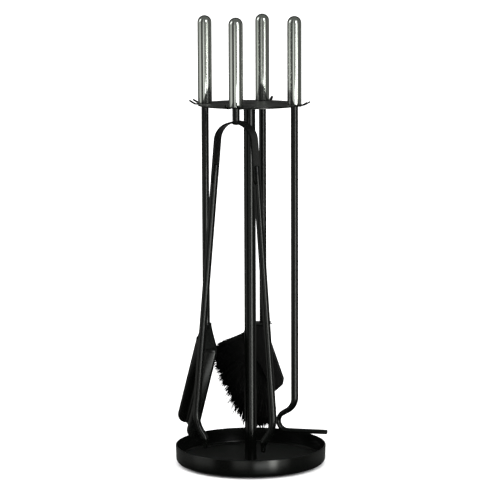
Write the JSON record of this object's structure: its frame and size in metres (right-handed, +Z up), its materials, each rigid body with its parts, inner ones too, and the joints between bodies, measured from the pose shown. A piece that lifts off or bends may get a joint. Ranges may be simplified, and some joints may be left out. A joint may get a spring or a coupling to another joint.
{
  "type": "fireplace tool set",
  "caption": "Fireplace tool set: tongs, poker, brush and shovel hang by steel handles in a slotted plate on a post over a round tray",
  "frame": {"origin": "middle of the felt face that rests on the floor, under the post", "axes": "+Z up along the post; +X from the post to the poker; -Y from the post to the tongs"},
  "size_m": [0.2239, 0.206, 0.6116],
  "materials": {
    "black_coat": "satin powder coat",
    "stainless": "brushed along the handle",
    "zinc": "zinc plated",
    "block_black": "matt moulded",
    "bristle_black": "stiff synthetic bristle",
    "felt_black": "felt"
  },
  "bodies": {
    "stand": {"base_felt": "felt_black", "base_tray": "black_coat", "base_bolt": "zinc", "post_plug_bottom": "zinc", "post_tube": "black_coat", "post_plug_top": "zinc", "top_plate": "black_coat", "top_screw": "black_coat"},
    "tongs_handle": {"tongs_handle": "stainless", "tongs_handle_insert": "zinc"},
    "tongs": {"tongs_stem": "black_coat", "tongs_spring": "black_coat", "tongs_rivet": "black_coat"},
    "tongs_arm_left": {"tongs_arm_left": "black_coat"},
    "tongs_arm_right": {"tongs_arm_right": "black_coat"},
    "poker_handle": {"poker_handle": "stainless", "poker_handle_insert": "zinc"},
    "poker": {"poker_rod": "black_coat"},
    "brush_handle": {"brush_handle": "stainless", "brush_handle_insert": "zinc"},
    "brush": {"brush_rod": "black_coat", "brush_cap": "black_coat", "brush_cap_pin": "zinc", "brush_block": "block_black", "brush_block_screw": "zinc", "brush_bristles": "bristle_black"},
    "shovel_handle": {"shovel_handle": "stainless", "shovel_handle_insert": "zinc"},
    "shovel": {"shovel_rod": "black_coat", "shovel_pan": "black_coat"}
  },
  "joints": [
    {"name": "tongs_lift", "type": "slide", "parent": "stand", "child": "tongs_handle", "axis": [0, -0.9063, 0.4226], "range_m": [0, 0.2]},
    {"name": "tongs_swing", "type": "hinge", "parent": "tongs_handle", "child": "tongs", "pos_m": [0, -0.0627, 0.48], "axis": [0, 0, 1], "range_deg": [0, 10]},
    {"name": "poker_lift", "type": "slide", "parent": "stand", "child": "poker_handle", "axis": [0.9063, 0, 0.4226], "range_m": [0, 0.2]},
    {"name": "poker_swing", "type": "hinge", "parent": "poker_handle", "child": "poker", "pos_m": [0.0627, 0, 0.48], "axis": [0, 0, 1], "continuous": true},
    {"name": "brush_lift", "type": "slide", "parent": "stand", "child": "brush_handle", "axis": [0, 0.9063, 0.4226], "range_m": [0, 0.2]},
    {"name": "brush_swing", "type": "hinge", "parent": "brush_handle", "child": "brush", "pos_m": [0, 0.0627, 0.48], "axis": [0, 0, 1], "range_deg": [-45, 0]},
    {"name": "shovel_lift", "type": "slide", "parent": "stand", "child": "shovel_handle", "axis": [-0.9063, 0, 0.4226], "range_m": [0, 0.2]},
    {"name": "shovel_swing", "type": "hinge", "parent": "shovel_handle", "child": "shovel", "pos_m": [-0.0627, 0, 0.48], "axis": [0, 0, 1], "range_deg": [-8, 0]},
    {"name": "tongs_squeeze_right", "type": "hinge", "parent": "tongs", "child": "tongs_arm_right", "pos_m": [0.02526, -0.06314, 0.45015], "axis": [0.0175, 0.9998, 0], "range_deg": [0, 4.5], "stiffness_Nm_per_rad": 38, "deforming": ["tongs_spring"]},
    {"name": "tongs_squeeze_left", "type": "hinge", "parent": "tongs", "child": "tongs_arm_left", "pos_m": [-0.02578, -0.06225, 0.45068], "axis": [-0.0175, -0.9998, 0], "range_deg": [0, 4.5], "stiffness_Nm_per_rad": 38, "deforming": ["tongs_spring"]}
  ],
  "couplings": [
    {"joint": "tongs_squeeze_left", "follows": "tongs_squeeze_right", "ratio": 1}
  ]
}
